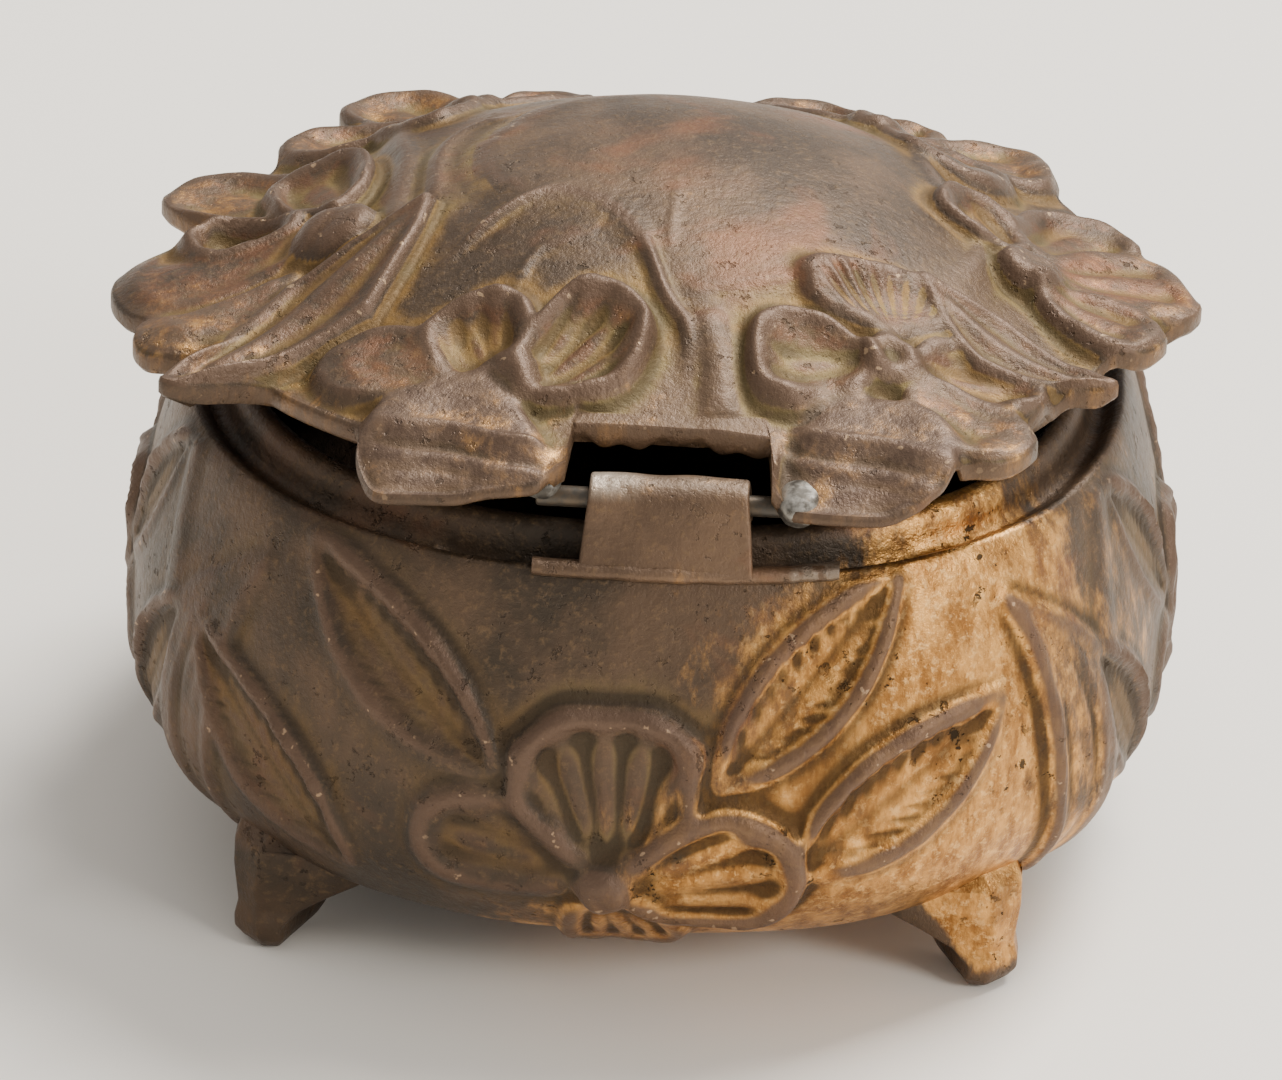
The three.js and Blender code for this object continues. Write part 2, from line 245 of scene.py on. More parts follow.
def along_side(side):
    """How far each column is from the middle of a side, along the belly, rightwards as one faces it."""
    from_middle = (turn - math.radians(SIDES[side]) + math.pi) % (2 * math.pi) - math.pi
    return np.broadcast_to(ARC * from_middle[None, :], (len(belly), COLUMNS))


def on_side(x, z):
    """The place on a side's skin at x from its middle and z above the table."""
    v = np.interp(z, belly[:, 1], climb)
    r = np.interp(v, climb, belly[:, 0])
    depth = (r**PLAN_POWER - abs(x) ** PLAN_POWER) ** (1 / PLAN_POWER)
    return ARC * math.atan2(x, depth), v


work = Relief((len(belly), COLUMNS))


def lay_motif(side, narrow=1.0, flip=1, knob_high=1.2):
    """One side's cast motif: four long leaves round an open flower with a knob."""
    u, v, p = flip * along_side(side) / narrow, level, on_side
    leaf(work, u, v, p(-8.4, 20.4), p(-21.2, 33.2), 6.4, 0.3, (0.35, 1.0), 0.6, 0.2, 0.1, 1.1)
    leaf(work, u, v, p(-18.0, 10.6), p(-29.2, 24.0), 6.8, 0.2, (0.35, 1.05), 0.7, 0.2, 0.14, 1.2)
    leaf(work, u, v, p(6.0, 20.2), p(17.2, 34.2), 6.2, 0.2, (0.75, 0.85), 0.6, 0.35, 0.18, 1.0)
    leaf(work, u, v, p(11.2, 13.4), p(24.6, 24.2), 7.2, 0.1, (1.15, 0.5), 0.6, 0.25, 0.18, 1.3)
    knob = p(-1.2, 12.4)
    ku, kv = knob
    petal(work, u, v, (ku - 1, kv + 0.5), p(-14.0, 16.2), 8.6, 0.35, 0.45, 0.3, 5, 3, 1.2, 0.6, 0.13)
    petal(work, u, v, (ku + 0.4, kv - 0.6), (ku + 1.8, kv - 10.4), 10.6, 0.5, 0.4, 0.3, 5, 4, depth=0.2)
    petal(work, u, v, (ku + 0.2, kv + 1.0), p(-1.3, 25.4), 12.6, 0.75, 0.8, 0.5, 5.0, 9, 1.3, 0.75, 0.26)
    petal(work, u, v, (ku + 0.8, kv - 0.2), p(12.0, 14.2), 11.6, 0.85, 0.4, 0.6, 5.0, 0, 1.4, 0.5, 0.26)
    dome_knob(work, u, v, knob, 1.9, knob_high, 0.22 * knob_high)


def lay_corner(side, hand):
    """A long leaf that folds round a corner, from high beside it down to the foot."""
    u, v = hand * along_side(side), level
    low, high = (31.6, np.interp(7.5, belly[:, 1], climb)), (27.2, np.interp(30.2, belly[:, 1], climb))
    bold = 0.8 if hand > 0 else 0.4
    leaf(work, u, v, low, high, 7.4, -4.4, (0.9 * bold, 0.5 * bold), 0.1, 0.6 * bold, 0.0, 1.6)
    s = np.clip((v - low[1]) / (high[1] - low[1]), 0, 1)
    for shift in (-1.8, -0.4, 1.0, 2.2):
        curl = u - (31.6 - 4.4 * s + 4.4 * 4 * s * (1 - s) + shift * np.sin(math.pi * s))
        work.add(0.4 * bold * cord_line(curl, 1.2) * eased(0.05, 0.3, s) * eased(0.98, 0.7, s) * work.inside)
    rib = u - np.interp(v, np.interp([8, 16, 26.7, 33.6], belly[:, 1], climb), [34.5, 35.4, 37.2, 39.5])
    work.add(0.3 * cord_line(rib, 3.4) * eased(4, 9, v))


for side in ("hinge", "opening"):
    for hand in (-1, 1):
        lay_corner(side, hand)
lay_motif("left", 0.66, -1)
lay_motif("right", 0.66)
lay_motif("opening")
lay_motif("hinge", knob_high=2.1)

direction = np.stack([np.cos(turn), np.sin(turn)], 1)
reach = plan_reach(direction[:, 0], direction[:, 1])
places = np.zeros((len(outline), COLUMNS, 3))
places[:, :, :2] = outline[:, 0, None, None] * (direction * reach[:, None])[None]
places[:, :, 2] = outline[:, 1, None]
slope = np.gradient(belly, axis=0)
slope /= np.linalg.norm(slope, axis=1)[:, None]
fade = (eased(0, 5, climb) * eased(climb[-1], climb[-1] - 0.9, climb))[:, None]
height = blurred(work.height, 1, 1) * fade
height = height + 0.12 * uneven(*np.moveaxis(places[belly_rows], 2, 0), 17, 1.0) * fade
for k in (0, 1):
    places[belly_rows, :, k] += height * slope[:, 1, None] * direction[None, :, k]
places[belly_rows, :, 2] -= height * slope[:, 0, None]

x, y, z = (places[:, :, k] for k in range(3))
half_width = (np.abs(x) ** PLAN_POWER + np.abs(y) ** PLAN_POWER) ** (1 / PLAN_POWER)
in_seat = eased(SEAT_FROM, SEAT_FROM + 1.6, x) * eased(SEAT_TO, SEAT_TO - 0.8, x) * (y < 0)
in_seat = in_seat * eased(31.95, 31.6, half_width) * eased(30.0, 30.35, half_width) * (z > 31)
places[:, :, 2] = z + in_seat * (np.minimum(z, SEAT_FLOOR) - z)

raised = np.zeros((len(outline), COLUMNS))
raised[belly_rows] = (height - blurred(height, 3)) / 0.2
# painted shade: how far the metal lies below its blurred neighbours, which the finish darkens as shade in the
# creases
crease_shade = np.zeros((len(outline), COLUMNS))
crease_shade[belly_rows] = (blurred(height, 2, 2) - height) / 0.14
leafy = np.zeros((len(outline), COLUMNS))
leafy[belly_rows] = work.inside * fade
zone = np.zeros((len(outline), COLUMNS))
zone[belly_rows.stop:belly_rows.stop + len(shoulder)] = 1
zone[belly_rows.stop + len(shoulder) - 6:] = 2
body = spun_piece("body_casting", places, {"raised": raised, "crease_shade": crease_shade, "leafy": leafy, "zone": zone})


class Wire:
    """A shader socket that does sums: each operator adds the Math node that it stands for."""

    tree = None

    def __init__(self, socket):
        self.socket = socket

    @classmethod
    def node(cls, kind, settings=None, values=None, out=0):
        """Adds any other node: its settings first, then the values or links of its sockets."""
        made = cls.tree.nodes.new(kind)
        for key, value in (settings or {}).items():
            setattr(made, key, value)
        for key, value in (values or {}).items():
            if isinstance(value, Wire):
                cls.tree.links.new(value.socket, made.inputs[key])
            else:
                made.inputs[key].default_value = value
        return cls(made.outputs[out])

    def sum(self, operation, *others, clamp=False):
        terms = dict(enumerate([self, *others]))
        return Wire.node("ShaderNodeMath", {"operation": operation, "use_clamp": clamp}, terms)

    def __add__(self, other):
        return self.sum("ADD", other)

    __radd__ = __add__

    def __sub__(self, other):
        return self.sum("SUBTRACT", other)

    def __rsub__(self, other):
        return Wire.node("ShaderNodeMath", {"operation": "SUBTRACT"}, {0: other, 1: self})

    def __mul__(self, other):
        return self.sum("MULTIPLY", other)

    __rmul__ = __mul__

    def clipped(self):
        return self.sum("ADD", 0.0, clamp=True)

    def between(self, low, high):
        """0 below low, 1 above high, eased in between."""
        return Wire.node("ShaderNodeMapRange", {"interpolation_type": "SMOOTHSTEP"},
                         {"Value": self, "From Min": low, "From Max": high})


def mark(name):
    return Wire.node("ShaderNodeAttribute", {"attribute_type": "GEOMETRY", "attribute_name": name}, out="Fac")


def blend_colour(share, first, second):
    return Wire.node("ShaderNodeMix", {"data_type": "RGBA"}, {0: share, 6: first, 7: second}, out=2)


def noise(place, scale, detail=3.0, rough=0.55, warp=0.0):
    values = {"Vector": place, "Scale": scale, "Detail": detail, "Roughness": rough, "Distortion": warp}
    return Wire.node("ShaderNodeTexNoise", {"noise_dimensions": "3D"}, values)


def rgb(r, g, b):
    """A colour given as it looks, from 0 to 255."""
    return tuple(((c / 255 + 0.055) / 1.055) ** 2.4 for c in (r, g, b)) + (1.0,)


def new_finish(name):
    material = bpy.data.materials.new(name)
    material.use_nodes = True
    Wire.tree = material.node_tree
    return material, material.node_tree.nodes["Principled BSDF"]


def joined(shader, **links):
    for key, value in links.items():
        socket = shader.inputs[key.replace("_", " ")]
        if isinstance(value, Wire):
            Wire.tree.links.new(value.socket, socket)
        else:
            socket.default_value = value


def place_of(name="Object"):
    return Wire.node("ShaderNodeTexCoord", out=name)


def parts_of(vector):
    first = Wire.node("ShaderNodeSeparateXYZ", {}, {0: vector})
    return [Wire(part) for part in first.socket.node.outputs]


def scaled(vector, by):
    return Wire.node("ShaderNodeVectorMath", {"operation": "MULTIPLY"}, {0: vector, 1: by}, out="Vector")


def patina(name, gold_field, marked=True, dust=0.4, dark=(70, 60, 49), mid=(108, 88, 71),
           copper=(150, 98, 64), tone=(0.62, 0.57, 0.5), solder_field=None):
    """Gilding worn down to a brown skin: gold where gold_field says, mauve-brown on rubbed rims,
    golden dust in the hollows, with coppery clouds, black specks, bright flecks and fine grain, and
    painted shade, a dark brown, in the creases beside the raised work. A marked piece reads the
    vertex marks for raised rims, for the painted crease shade and for leafy, which is -1 on bare metal."""
    material, shader = new_finish(name)
    place = place_of()
    clouds = noise(place, 95, 4, 0.6, 0.3)
    streaks = noise(scaled(place, (1.5, 1.5, 0.6)), 420, 6, 0.7)
    grain = noise(place, 1700, 4, 0.7)
    rub = (mark("raised") if marked else 0) + (streaks - 0.5) * 1.3 + (grain - 0.5) * 0.5
    rims, hollows = rub.between(0.2, 1.25), (rub * -1).between(0.1, 1.2)
    brown = blend_colour(clouds.between(0.36, 0.66), rgb(*dark), rgb(*mid))
    rightward = parts_of(place)[0].between(-0.024, -0.006)
    coppery = noise(place, 70, 4, 0.6, 0.5).between(0.54, 0.68) * (0.15 + rightward * 0.45)
    if marked:
        in_leaves = mark("leafy").clipped() * streaks.between(0.4, 0.6) * (0.5 * dust * dust)
        coppery = (coppery + in_leaves).clipped()
    brown = blend_colour(coppery, brown, rgb(*copper))
    olive = blend_colour(clouds.between(0.4, 0.6), rgb(182, 144, 82), rgb(156, 138, 88))
    brown = blend_colour(hollows * dust, brown, olive)
    brown = blend_colour(grain.between(0.5, 0.72) * 0.4, brown, rgb(150, 124, 92))
    gold = blend_colour(streaks.between(0.34, 0.66), rgb(140, 94, 46), rgb(216, 162, 92))
    gold = blend_colour(grain.between(0.5, 0.66) * 0.5, gold, rgb(244, 198, 132))
    gold = blend_colour(noise(place, 160, 4, 0.65).between(0.5, 0.64) * 0.5, gold, rgb(128, 92, 54))
    share = gold_field(place) + (streaks - 0.5) * 0.9 + (clouds - 0.5) * 0.7
    pits = noise(place, 900, 3, 0.75).between(0.6, 0.66) * noise(place, 130, 3, 0.6).between(0.46, 0.62)
    gilt = share.between(0.3, 0.68) * (1 - rims * 0.85)
    colour = blend_colour(rims * 0.85, brown, rgb(112, 90, 76))
    if marked:
        bare = (mark("leafy") * -1).clipped()
        bare_metal = blend_colour(streaks.between(0.4, 0.6), rgb(104, 84, 74), rgb(134, 112, 98))
        colour = blend_colour(bare * 0.8, colour, bare_metal)
    colour = blend_colour(gilt, colour, gold)
    colour = blend_colour(hollows * gilt * 0.5, colour, rgb(120, 80, 38))
    colour = blend_colour(pits * (0.35 + gilt * 0.55), colour, rgb(40, 36, 30))
    if marked:
        # painted shade: the creases beside the raised work are darkened to a dark brown, less where there is
        # more dust
        crease_shade_share = mark("crease_shade").between(0.15, 1.1) * (0.95 - dust * 0.4)
        colour = blend_colour(crease_shade_share, colour, rgb(48, 38, 26))
    flecks = noise(place, 1250, 2, 0.5).between(0.67, 0.72) * rims
    colour = blend_colour(flecks * 0.6, colour, rgb(220, 190, 158))
    if solder_field:
        smear = solder_field(place) * streaks.between(0.35, 0.5)
        colour = blend_colour(smear, colour, rgb(214, 206, 196))
    colour = blend_colour(gilt * 0.75, scaled(colour, tone), colour)
    shade = 0.47 + (grain - 0.5) * 0.4 - gilt * 0.1 + hollows * 0.14 + pits * 0.2
    bumps = grain * 0.7 + streaks * 0.7 - pits * 0.9
    normal = Wire.node("ShaderNodeBump", {}, {"Strength": 0.6, "Distance": 0.00026, "Height": bumps})
    joined(shader, Base_Color=colour, Roughness=shade, Metallic=0.5 + gilt * 0.4, Normal=normal)
    return material


def body_gold(place):
    px, py, pz = parts_of(place)
    hinge_side = (py * -1).between(0.006, 0.022)
    lean = px + (pz - 0.02) * -0.5
    right_half = lean.between(-0.006, 0.013) * (1 - (px + (pz - 0.02) * 0.12).between(0.0235, 0.0335) * 0.75)
    low = (1 - pz.between(0.006, 0.015)) * px.between(-0.03, 0.004) * 0.5
    right_end = px.between(0.027, 0.033) * 0.16
    rim = mark("zone").between(0.2, 0.8) * -0.16
    outside = 1 - mark("zone").between(1.2, 1.8)
    return (hinge_side * (right_half * 0.9 + low).clipped() * 0.8 + right_end) * outside + rim + 0.05


body_finish = patina("worn_gilt_body", body_gold)
body.data.materials.append(body_finish)
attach(body, "casket")
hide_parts("body_shell")

# ---- Feet ------------------------------------------------------------------
# Four bracket feet cast with a flat face on each outer side and a hollow scoop behind. They are
# soldered under the corners, and wear bright on the flats and dark round the toes.
FOOT = [  # height, inner corner, outer faces, where the scoop meets the outer face, corner cut
    (0.0, 22.2, 25.4, 24.0, 1.2), (0.3, 21.4, 26.2, 23.6, 1.5), (1.1, 20.8, 26.8, 23.4, 1.9),
    (2.0, 20.5, 26.8, 23.5, 1.8), (3.2, 19.6, 26.5, 22.4, 1.5), (4.6, 18.0, 26.6, 20.2, 1.4),
    (6.2, 15.6, 26.8, 17.4, 1.7), (8.0, 12.8, 26.8, 14.2, 2.0), (10.0, 10.6, 26.2, 11.8, 2.4)]


def lofted(sections):
    """Joins rings of points, each with as many as the last, into one closed shape."""
    bm = bmesh.new()
    ring = [bm.verts.new(p) for p in sections[0]]
    bm.faces.new(ring)
    edges = [bm.edges.get(pair) for pair in zip(ring, ring[1:] + ring[:1])]
    for section in sections[1:]:
        grown = bmesh.ops.extrude_edge_only(bm, edges=edges)["geom"]
        fresh = [g for g in grown if isinstance(g, bmesh.types.BMVert)]
        edges = [g for g in grown if isinstance(g, bmesh.types.BMEdge)
                 and all(v in fresh for v in g.verts)]
        ring = [min(fresh, key=lambda v, p=old.co: (v.co - p).length) for old in ring]
        for corner, p in zip(ring, section):
            corner.co = p
    bm.faces.new(ring)
    bmesh.ops.recalc_face_normals(bm, faces=bm.faces)
    return bm


def rounded(bm, width, segments=2):
    bmesh.ops.bevel(bm, geom=list(bm.edges), offset=width, offset_type="OFFSET", affect="EDGES",
                    segments=segments, profile=0.5, material=-1, clamp_overlap=True)
    bmesh.ops.remove_doubles(bm, verts=bm.verts, dist=0.01)


def made_piece(name, bm, move=None, finish=None, ride="casket", node=None, sharp=40):
    """Moves each vertex, turns millimetres to metres, and hands the piece to its CAD body."""
    if move:
        for corner in bm.verts:
            corner.co = move(corner.co)
    bmesh.ops.recalc_face_normals(bm, faces=bm.faces)
    bmesh.ops.scale(bm, vec=(MM, MM, MM), verts=bm.verts)
    mesh = bpy.data.meshes.new(name)
    bm.to_mesh(mesh)
    bm.free()
    mesh.polygons.foreach_set("use_smooth", [True] * len(mesh.polygons))
    mesh.set_sharp_from_angle(angle=math.radians(sharp))
    piece = bpy.data.objects.new(name, mesh)
    bpy.context.scene.collection.objects.link(piece)
    piece.data.materials.append(finish)
    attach(piece, ride)
    if node:
        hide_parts(node)
    return piece


def foot_gold(place):
    px, py, pz = parts_of(place)
    reach, width = px.sum("ABSOLUTE"), py.sum("ABSOLUTE")
    facet = (reach.sum("MINIMUM", width) + pz * 0.75).between(0.0245, 0.0262)
    off_corner = (reach - width).sum("ABSOLUTE").between(0.02, 0.03)
    above_toe = pz.between(0.0008, 0.0034)
    return facet * px.between(-0.01, 0.01) * 0.75 * above_toe + off_corner + 0.14


foot_finish = patina("worn_gilt_feet", foot_gold, False)
belly_at = np.array([(r, z) for r, z in belly if z < 16])
for corner_name, quarter in (("front_right", 0), ("front_left", 1), ("hinge_left", 2), ("hinge_right", 3)):
    bm = lofted([[(near, near, z), (far, fold, z), (far, far - cut, z), (far - cut, far, z), (fold, far, z)]
                 for z, near, far, fold, cut in FOOT])
    rounded(bm, 0.32, 2)
    long_edges = [e for e in bm.edges if e.calc_length() > 0.9]
    bmesh.ops.subdivide_edges(bm, edges=long_edges, cuts=2, use_grid_fill=True)
    turned_by = Matrix.Rotation(quarter * math.pi / 2, 3, "Z")

    def settle(p, turned_by=turned_by):
        q = turned_by @ p
        lump = 0.1 * uneven(q.x, q.y, q.z, 6, 2.0) * min(1, q.z / 1.5)
        half = (abs(q.x) ** PLAN_POWER + abs(q.y) ** PLAN_POWER) ** (1 / PLAN_POWER)
        skin = float(np.interp(half, belly_at[:, 0], belly_at[:, 1]))
        return Vector((q.x * (1 + lump / 26), q.y * (1 + lump / 26), min(q.z, skin + 0.5)))

    made_piece(f"bracket_foot_{corner_name}", bm, settle, foot_finish, "casket",
               f"foot_{corner_name}")

# ---- Hinge strap -----------------------------------------------------------
# A brass strap soldered along the ridge. Its tab stands up and is rolled round the pin.
HINGE_X, PIN_Y, PIN_Z, PIN_R = 2.1, -29.6, 38.0, 0.7
TAB_HALF = 5.2
BORE_R, ROLL_WIDE, ROLL_HIGH = 1.0, 1.78, 1.72
SOLE_LEFT, SOLE_RIGHT, RIDGE_R = -6.6, 13.4, 32.35
SOLE = [(-0.7, 33.7), (-0.7, 34.3), (-0.4, 34.55), (0.2, 34.65), (0.62, 34.45), (0.7, 34.0), (0.35, 33.6)]


def strap_side():
    """The tab seen from its end: up the front, round the pin and back under it."""
    outer = [(-32.75, 34.15), (-32.35, 35.2), (-31.75, 36.6)]
    inner = [(-31.75, 34.2), (-31.4, 35.3), (-30.85, 36.6)]
    for k in range(13):
        a = math.radians(170 - 20 * k)
        outer.append((PIN_Y + ROLL_WIDE * math.cos(a), PIN_Z + ROLL_HIGH * math.sin(a)))
        inner.append((PIN_Y + BORE_R * math.cos(a), PIN_Z + BORE_R * math.sin(a)))
    return outer + inner[::-1]


def strap_gold(place):
    return parts_of(place)[2].between(0.0368, 0.0396) * 0.15 + 0.14


def strap_solder(place):
    px, _, pz = parts_of(place)
    top_left = pz.between(0.0384, 0.0396) * (1 - px.between(-0.002, 0.001)) * 0.6
    return (top_left + pz.between(0.0390, 0.0398) * 0.15 + px.between(0.0100, 0.0106) * 0.3).clipped()


strap_finish = patina("worn_gilt_strap", strap_gold, False, mid=(132, 108, 88), dark=(104, 84, 68),
                      solder_field=strap_solder)
side = strap_side()
steps = np.linspace(-TAB_HALF, TAB_HALF, 27)
bm = lofted([[(HINGE_X + x, y, z) for y, z in side] for x in steps])
ends = [e for e in bm.edges if abs(abs(e.verts[0].co.x - HINGE_X) - TAB_HALF) < 0.01
        and abs(abs(e.verts[1].co.x - HINGE_X) - TAB_HALF) < 0.01]
bmesh.ops.bevel(bm, geom=ends, offset=0.22, offset_type="OFFSET", affect="EDGES", segments=3, profile=0.5,
                material=-1, clamp_overlap=True)


def lean(p):
    low = min(max((39.2 - p.z) / 5, 0), 1)
    dent = 0.09 * uneven(p.x, p.y, p.z, 5, 0.7)
    return Vector((HINGE_X + (p.x - HINGE_X) * (1 + 0.1 * low), p.y + dent, p.z + dent))


made_piece("hinge_tab", bm, lean, strap_finish, "casket", "hinge_leaf", 35)


def ridge_depth(x, out):
    return ((RIDGE_R + out) ** PLAN_POWER - abs(x) ** PLAN_POWER) ** (1 / PLAN_POWER)


bm = lofted([[(x, -ridge_depth(x, out), z + 0.1 * uneven(x, out, z, 3.1, 0.4)) for out, z in SOLE]
             for x in np.linspace(SOLE_LEFT, SOLE_RIGHT, 60)])
made_piece("hinge_sole_strip", bm, None, strap_finish, "casket", None, 60)

# ---- Pin and lugs ----------------------------------------------------------
# A wire pin held at both ends in lumps of grey solder on the underside of the lid.
DROOP = math.radians(2.6)
PIN_LONG = 17.4


def drooped(p):
    """A lid point drawn square to the lid, turned down with the shut lid."""
    y, z = p[1] - PIN_Y, p[2] - PIN_Z
    across, up = math.cos(DROOP), math.sin(DROOP)
    return Vector((p[0], PIN_Y + y * across + z * up, PIN_Z + z * across - y * up))


def solder_grey(name, pale=(150, 146, 138)):
    material, shader = new_finish(name)
    place = place_of()
    blotch, fine = noise(place, 700, 4, 0.6), noise(place, 2600, 3, 0.6)
    colour = blend_colour(blotch.between(0.4, 0.62), rgb(76, 72, 66), rgb(*pale))
    colour = blend_colour(fine.between(0.55, 0.75) * 0.5, colour, rgb(86, 70, 54))
    normal = Wire.node("ShaderNodeBump", {}, {"Strength": 0.3, "Distance": 0.0001, "Height": blotch})
    joined(shader, Base_Color=colour, Roughness=0.4 + fine * 0.2, Metallic=0.75, Normal=normal)
    return material


solder_finish = solder_grey("grey_solder")
wire_finish = solder_grey("browned_wire", (96, 84, 70))
bm = bmesh.new()
lying = Matrix.Translation((HINGE_X, PIN_Y, PIN_Z)) @ Matrix.Rotation(math.pi / 2, 4, "Y")
bmesh.ops.create_cone(bm, cap_ends=True, segments=24, radius1=PIN_R, radius2=PIN_R, depth=PIN_LONG,
                      matrix=lying)
ends = [e for e in bm.edges if abs(e.verts[0].co.x - e.verts[1].co.x) < 0.01]
bmesh.ops.bevel(bm, geom=ends, offset=0.2, offset_type="OFFSET", affect="EDGES", segments=3, profile=0.5,
                material=-1)


def bent_wire(p):
    return drooped((p.x, p.y + 0.02 * math.sin(p.x), p.z))


made_piece("hinge_pin_wire", bm, bent_wire, wire_finish, "lid", "hinge_pin", 30)
for hand, lug in ((-1, "left"), (1, "right")):
    bm = bmesh.new()
    bmesh.ops.create_icosphere(bm, subdivisions=4, radius=1.0)

    def lump(p, hand=hand):
        swell = 1 + 0.12 * uneven(p.x, p.y, p.z, 1.6, hand)
        q = Vector((p.x * (1.5 + 0.1 * hand), p.y * (1.9 + 0.5 * hand), p.z * (1.25 + 0.2 * hand))) * swell
        return drooped((HINGE_X + hand * 8.5 + q.x, PIN_Y - 0.2 - 0.5 * hand + q.y, PIN_Z + 0.75 + q.z))

    made_piece(f"solder_lug_{lug}", bm, lump, solder_finish, "lid", f"lid_lug_{lug}", 60)

# ---- Lid -------------------------------------------------------------------
# A thin casting like a pillow, edged with flowers, long pointed leaves and two petals that are
# turned down over the hinge. Fine raised stems wander over its top. A skirt under it stands on the lip.
DOME = [(0, 51.6), (6, 51.25), (12, 49.85), (17, 47.8), (21.5, 45.4), (25.5, 43.1), (28.5, 41.8),
        (31.8, 41.0), (36, 40.3), (44, 39.4)]
NOTCH = (HINGE_X - 6.6, HINGE_X + 6.6, -27.4)
LID_COLUMNS = 720
dome_line = soft_line(DOME, 400)


def half_width_of(x, y):
    return (np.abs(x) ** PLAN_POWER + np.abs(y) ** PLAN_POWER) ** (1 / PLAN_POWER)


def dome(x, y):
    return np.interp(half_width_of(x, y), dome_line[:, 0], dome_line[:, 1])


def stem(work, x, y, points, width, height, step=0.0):
    """A fine raised line through the points, thinning out at both ends. The metal on its left
    hand lies step higher, and falls away slowly."""
    line = soft_line(points, 30)
    near = np.full(x.shape, 1e9)
    share, hand = np.zeros(x.shape), np.zeros(x.shape)
    for i, ((ax, ay), (bx, by)) in enumerate(zip(line, line[1:])):
        length = math.hypot(bx - ax, by - ay)
        t = np.clip(((x - ax) * (bx - ax) + (y - ay) * (by - ay)) / length**2, 0, 1)
        far = np.hypot(x - ax - t * (bx - ax), y - ay - t * (by - ay))
        side = ((y - ay) * (bx - ax) - (x - ax) * (by - ay)) / length
        share = np.where(far < near, (i + t) / (len(line) - 1), share)
        hand = np.where(far < near, side, hand)
        near = np.minimum(near, far)
    taper = np.clip(np.minimum(share, 1 - share) * 8, 0, 1)
    work.add(height * np.maximum(taper, 0.2) * cord_line(near, width))
    work.add(step * taper * eased(-0.5, 0.5, hand) * eased(6.5, 0, near))


def ridged_leaf(work, u, v, base, tip, width, bow, rise):
    """A pointed leaf with ridges along its whole length and a thick rolled tip."""
    (bu, bv), (tu, tv) = base, tip
    au, av = tu - bu, tv - bv
    length = math.hypot(au, av)
    along = ((u - bu) * au + (v - bv) * av) / length**2
    s = np.clip(along, 0, 1)
    across = ((v - bv) * au - (u - bu) * av) / length - bow * 4 * s * (1 - s)
    half = width / 2 * np.clip(np.minimum(s * 2.4, (1 - s) * 1.5 + 0.12), 0, 1) ** 0.75
    past = np.maximum(np.maximum(-along, along - 1), 0) * length
    edge = np.where(past > 0, np.hypot(np.maximum(np.abs(across) - half, 0), past), np.abs(across) - half)
    share = np.clip(across / (half + 0.3), -1, 1)
    inside = eased(0.1, -0.8, edge)
    ridges = 0.3 * np.cos(share * 7.5 + 0.8) * eased(0.05, 0.3, s) + 0.5 * cord_line(edge + 0.3, 1.3)
    lip = 0.9 * eased(0.72, 0.9, s) * cord_line(edge + 0.5, 1.6)
    lip = lip - 0.5 * eased(0.8, 0.92, s) * eased(-0.6, -1.4, edge)
    high = rise + 0.5 * (1 - share**2) + ridges * eased(1, 0.8, s) + lip
    work.lay(eased(0.5, -0.3, edge), high, 0.6 * inside)
    return edge


LOWEST_PETAL = 39.3  # lower than this and the open lid would touch the body's lip


def turned_down(work, x, y, corners, fold, top, slope_in, slope_out, soft=0.35):
    """A petal bent down over the lid's edge: a sloping top, a fold, and a grooved face below it.
    Its corners are given in order, with the metal on the left hand."""
    edge = np.full(x.shape, -1e9)
    for (ax, ay), (bx, by) in zip(corners, corners[1:] + corners[:1]):
        length = math.hypot(bx - ax, by - ay)
        side = ((x - ax) * (by - ay) - (y - ay) * (bx - ax)) / length
        edge = np.logaddexp(edge / soft, side / soft) * soft
    (fx, fy), (gx, gy) = fold
    length = math.hypot(gx - fx, gy - fy)
    past = ((x - fx) * (gy - fy) - (y - fy) * (gx - fx)) / length + 0.25 * np.sin(x * 0.9)
    high = top + np.where(past < 0, slope_in * -past, -slope_out * past)
    for at, wide, proud in ((0, 0.9, 0.45), (1.2, 0.8, -0.36), (1.9, 0.8, 0.14), (2.6, 0.6, -0.2)):
        high = high + proud * cord_line(past - at, wide)
    high = np.maximum(high, LOWEST_PETAL)
    cover = eased(0.3, -0.3, edge)
    work.lay(cover, high - 0.35 * eased(-1.2, 0.2, edge) - dome(x, y), -1.0)
    return cover


